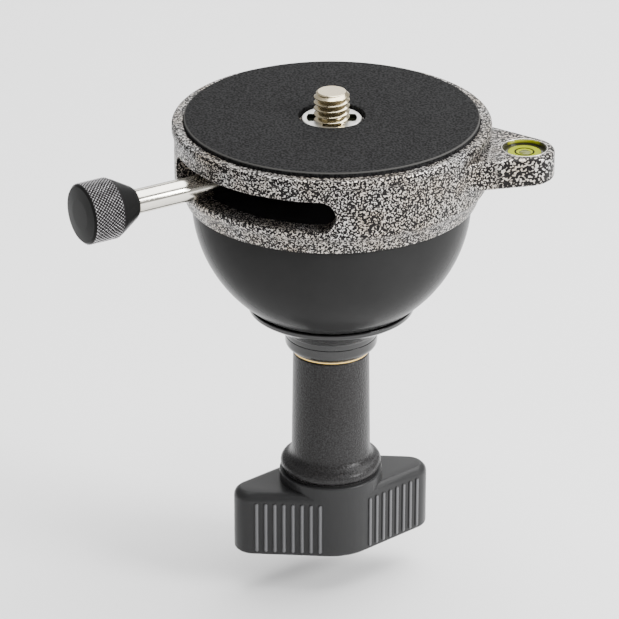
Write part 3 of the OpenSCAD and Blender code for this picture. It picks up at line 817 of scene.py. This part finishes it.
def knurled_band(low, top):
    """A sleeve of small raised diamonds: squares cut corner to corner, each with a tip."""
    around, rows, height = 50, 8, 0.42
    deselect()
    depth = (top - low) * MM
    bpy.ops.mesh.primitive_cylinder_add(
        vertices=around, radius=(KNURL_R - height) * MM, depth=depth, end_fill_type="NOTHING",
        location=(0, 0, low * MM + depth / 2))
    band = settle(named("knurl"))
    pick(band, "EDGE", lambda at, way: abs(way.z) > 1)
    bpy.ops.mesh.subdivide_edgering(number_cuts=rows - 1)
    bpy.ops.mesh.select_all(action="SELECT")
    bpy.ops.mesh.poke(offset=0)
    near = 0.01

    def straight(at, way):
        level = abs(way.z) < near
        upright = math.hypot(way.x, way.y) < near
        rim = level and (at.z < low + near or at.z > top - near)
        return (level or upright) and not rim

    pick(band, "EDGE", straight)
    bpy.ops.mesh.dissolve_edges(use_verts=False)
    bpy.ops.mesh.select_mode(type="FACE")
    bpy.ops.mesh.select_all(action="SELECT")
    bpy.ops.mesh.poke(offset=height * MM)
    for edge in (low, top):
        pick(band, "EDGE", lambda at, way: abs(at.z - edge) < near and abs(way.z) < near)
        bpy.ops.mesh.extrude_edges_move()
        bpy.ops.transform.resize(value=(0.9, 0.9, 1), center_override=(0, 0, edge * MM))
        bpy.ops.mesh.edge_face_add()
    leave_edit()
    return tidy(band)


# Half ball and drawbar


def make_ball():
    r = BALL_R
    edge = math.degrees(math.asin(SEAT_Z / r))
    bore = 5.05
    start = -90 + math.degrees(math.asin(bore / r))
    section = arc(0, 0, r, start, edge, 64)
    shelf_low, inner = 1.8, 33.0
    section += [(36.55, SEAT_Z), (36.55, BALL_SHELF_Z), (17.0, BALL_SHELF_Z), (17.0, shelf_low)]
    section += arc(0, 0, inner, math.degrees(math.asin(shelf_low / inner)), -54.9, 20)
    section += [(13.5, -27.0), (9.9, -27.0), (9.9, BALL_FLOOR_Z), (bore, BALL_FLOOR_Z)]
    ball = turned("ball", section, sides=192)
    return dress(smooth(ball, 20), "head", "satin_black", "half_ball")


def make_drawbar():
    low, head = -78.8, BALL_FLOOR_Z
    flats, thick = 17.0, 6.4
    blank = turned("blank", [(0, low), (4.0, low), (4.98, low + 1.0), (4.98, head + 0.2),
                             (0, head + 0.2)], sides=64, closed=False)
    bar = threaded("bar_thread", blank, 1.5, 5.0, 4.1, low - 2, 35, 32)
    hexagon = rod("bar_head", flats / 2 / math.cos(math.pi / 6), thick, (0, 0, head), 6)
    soften(hexagon, 0.5)
    bar = join([bar, smooth(hexagon, 30)], "drawbar_screw")
    return dress(bar, "head", "zinc_steel", "drawbar")


# Clamp: dish, collar and brass ring


def make_clamp():
    dish_r, cup, bore = 22.6, 37.8, 5.06
    lip = -math.degrees(math.acos((dish_r - 0.8) / cup))
    low, collar_low = -40.2, -44.35
    section = [(bore, low), (12.55, low, 0.25), (12.6, -38.4, 0.8), (20.9, -33.0, 1.2),
               (22.55, -31.9, 0.5), (dish_r, -30.3, 0.35), polar(cup, lip)]
    section = eased(section, 5, closed=False)
    section += arc(0, 0, cup, lip, -90 + math.degrees(math.asin(bore / cup)), 40)[1:]
    dish = turned("dish", section, sides=160)
    dress(smooth(dish, 24), "clamp", "satin_black", "clamp_dish", look="turned_black")

    collar = turned("collar", [
        (5.3, low), (12.6, low, 0.05), (12.6, -43.3, 2.0), (11.0, -43.9, 0.6),
        (10.85, collar_low), (5.3, collar_low)], sides=128, steps=8)
    dress(collar, "clamp", "satin_black", "thrust_collar", look="turned_black")

    ring_low = collar_low - 0.55
    ring = turned("ring_brass", [(5.3, ring_low), (10.7, ring_low, 0.2),
                                 (10.7, collar_low, 0.1), (5.3, collar_low)], sides=128)
    dress(ring, "clamp", "brass", "brass_washer")


# Handle: tube and wing knob


def make_tube():
    top = -45.2
    neck_r, cove, lip, lip_r = 10.85, 2.9, 1.75, 13.9
    lip_z = FOOT_Z + lip
    slope = math.degrees(math.acos(1 - (lip_r - neck_r) / (cove + lip)))
    cove_z = lip_z + (cove + lip) * math.sin(math.radians(slope))
    section = [(5.3, top, 0.2), (10.43, top, 0.5)]
    section += arc(neck_r + cove, cove_z, cove, 180, 180 + slope, 8)
    section += arc(lip_r - lip, lip_z, lip, slope, -85, 16)[1:]
    section += [(13.0, FOOT_Z), (13.0, WING_TOP), (11.0, WING_TOP), (11.0, -93.0), (8.4, -93.0),
                (8.4, -48.5), (5.3, -48.5)]
    tube = smooth(turned("tube", section, sides=128), 40)
    return dress(tube, "handle", "crinkle_black", "handle_tube")


def rounded_disc(r, at_x):
    top = WING_LOW + 18.6
    disc = turned("disc", [(0, WING_LOW), (r, WING_LOW, 1.0), (r, top, 2.4), (0, top)],
                  sides=72, closed=False)
    return place(disc, at=(at_x, 0, 0))


def make_wing():
    discs = [rounded_disc(WING_MID_R, 0)]
    discs += [rounded_disc(WING_TIP_R, side * WING_REACH) for side in (-1, 1)]
    wing = join(discs, "wing")
    edit_all(wing)
    bpy.ops.mesh.convex_hull()
    bpy.ops.mesh.select_all(action="SELECT")
    bpy.ops.mesh.dissolve_limited(angle_limit=math.radians(0.4))
    leave_edit()
    tidy(wing)
    boss_r = WING_MID_R - 0.01
    boss = turned("boss", [(0, WING_LOW + 3), (boss_r, WING_LOW + 3), (boss_r, WING_TOP, 0.4),
                           (0, WING_TOP)], sides=128, closed=False)
    carve(wing, boss, "UNION")
    carve(wing, ribs(), "UNION")
    socket = rod("socket", 11.05, 20, (0, 0, -93.0), 96)
    carve(wing, socket)
    carve(wing, rod("recess", 9.55, 7.6, (0, 0, WING_LOW - 1), 96))
    carve(wing, rod("hole", 3.25, 10, (0, 0, -97), 48))
    place(smooth(tidy(wing), 28), turn=(0, 0, WING_AZ))
    return dress(join([wing], "wing_grip"), "handle", "wing_plastic", "wing_knob")


def ribs():
    """Round-ended rods along the four flanks, sunk to a little more than half their width."""
    count, first, pitch = 8, 1.2, 2.5
    r, length, middle, sink = 0.6, 15.2, -93.8, 0.1
    half = length / 2 - r
    tip = WING_TIP_R - sink
    rib = turned("rib", arc(0, -half, r, -90, 0, 6) + arc(0, half, r, 0, 90, 6), sides=24,
                 closed=False)
    rods = []
    for i in range(count):
        along = first + pitch * i
        x = WING_REACH + tip * math.sin(WING_SLANT) - along * math.cos(WING_SLANT)
        y = tip * math.cos(WING_SLANT) + along * math.sin(WING_SLANT)
        for end in (-1, 1):
            for face in (-1, 1):
                rods.append(place(copy_of(rib, "rod"), at=(end * x, face * y, middle)))
    bpy.data.objects.remove(rib)
    return join(rods, "ribs")


def make_cap():
    r, top = 9.5, WING_LOW + 1.4
    cap = turned("cap", [(0, WING_LOW), (r, WING_LOW, 0.4), (r, top), (0, top)], sides=96,
                 closed=False)
    return dress(cap, "handle", "wing_plastic", "end_cap")


def dress_cad_nodes():
    """The solids that show as they are get the finish that the record names."""
    slots = {s["node"]: s["material_slot"] for s in frame["record"]["subparts"]}
    for node, piece in frame["nodes"].items():
        piece.data.materials.clear()
        piece.data.materials.append(FINISHES[slots[node]])


# Round level in the ear


def at_level(piece, dx=0.0, dy=0.0):
    x, y = polar(EAR_R, EAR_AZ)
    return place(piece, at=(x + dx, y + dy, 0))


def make_level():
    low, top = EAR_TOP - EAR_T + POCKET_FLOOR, EAR_TOP + 0.1
    bezel = turned("bezel", [(5.86, low), (6.24, low), (6.24, top, 0.14), (5.86, top, 0.14)],
                   sides=96)
    dress(at_level(bezel), "head", "polished_steel", "vial_bezel", look="bezel_metal")

    body_r, well_r, cup_top, face = 5.79, 4.4, 16.49, 17.16
    cup = turned("cup", [(0, low), (body_r, low, 0.2), (body_r, cup_top), (well_r, cup_top),
                         (well_r, 13.3), (0, 13.3)], sides=72, closed=False)
    dress(at_level(cup), "head", "clear_acrylic", "vial_cup", look="tinted_acrylic")

    liquid = turned("liquid", [(0, 13.35), (4.35, 13.35), (4.35, 16.3), (4.2, 16.45), (0, 16.45)],
                    sides=72, closed=False)
    dress(at_level(liquid), "head", "level_liquid", "vial_liquid")

    collar = turned("window_collar", [
        (well_r, cup_top + 0.01), (body_r, cup_top + 0.01), (body_r, 18.2, 0.12),
        (5.6, 18.2, 0.12), (5.5, face), (well_r, face, 0.05)], sides=72)
    dress(at_level(collar), "head", "clear_acrylic", "vial_cover", look="acrylic_wall")

    window_r = well_r - 0.02
    window = turned("window", [(0, cup_top + 0.01), (window_r, cup_top + 0.01),
                               (window_r, face, 0.05), (0, face)], sides=72, closed=False)
    dress(at_level(window), "head", "clear_acrylic", look="level_liquid")
    circle = turned("circle", [(2.2, face - 0.1), (2.68, face - 0.1), (2.68, face + 0.04),
                               (2.2, face + 0.04)], sides=72)
    dress(at_level(circle), "head", "level_liquid", look="ink_and_painted_shade")
    deselect()
    bpy.ops.mesh.primitive_uv_sphere_add(segments=48, ring_count=24, radius=1.6 * MM)
    blob = named("air_bubble")
    blob.scale = (1, 1, 0.3)
    settle(blob)
    place(blob, at=(0, 0, face - 0.1))
    dress(at_level(smooth(blob, 60), 0.1, -0.5), "head", "level_liquid", look="bubble")


# Studio


def make_camera():
    """The place, in metres, and the lens that give the base the outlines it is seen with."""
    deselect()
    bpy.ops.object.camera_add(location=(-0.0059, -0.8802, 0.3826),
                              rotation=(math.radians(64.7), 0, 0))
    camera = bpy.context.object
    camera.name = "camera"
    camera.data.sensor_width = 36
    camera.data.lens = 208.6
    camera.data.clip_end = 50
    bpy.context.scene.camera = camera


def softbox(name, at, aim, size, power):
    """A soft rectangular light, in metres and watts."""
    deselect()
    bpy.ops.object.light_add(type="AREA", location=at)
    lamp = bpy.context.object
    lamp.name = name
    lamp.data.shape = "RECTANGLE"
    lamp.data.size, lamp.data.size_y = size
    lamp.data.energy = power
    way = Vector(aim) - Vector(at)
    lamp.rotation_euler = way.to_track_quat("-Z", "Y").to_euler()


def make_studio():
    deselect()
    floor_z = WING_LOW - TRAVEL - 0.1
    bpy.ops.mesh.primitive_plane_add(size=8, location=(0, 0, floor_z * MM))
    floor = settle(named("floor"))
    look = Finish("floor_white", (0.9, 0.9, 0.9), 0.8)
    look.paint(look.mix(look.noise(300, 2.0), (0.88, 0.88, 0.88), (0.92, 0.92, 0.92)))
    floor.data.materials.append(look.material)
    world = bpy.data.worlds.new("studio")
    bpy.context.scene.world = world
    world.use_nodes = True
    background = world.node_tree.nodes["Background"]
    background.inputs["Color"].default_value = (1, 1, 1, 1)
    background.inputs["Strength"].default_value = 0.55
    softbox("top", (0.3, 0.22, 1.0), (0.02, 0.08, -0.1), (1.3, 1.3), 36)
    softbox("rear", (0.1, 1.7, 0.75), (0, 0, 0.03), (1.6, 0.7), 6)
    softbox("key", (1.1, -0.5, 0.55), (0, 0, -0.03), (0.5, 0.5), 25)


make_camera()
make_studio()
dress_cad_nodes()
make_platform()
make_pad()
make_stud()
make_nut()
make_lever()
make_level()
make_ball()
make_drawbar()
make_clamp()
make_tube()
make_wing()
make_cap()

deselect()
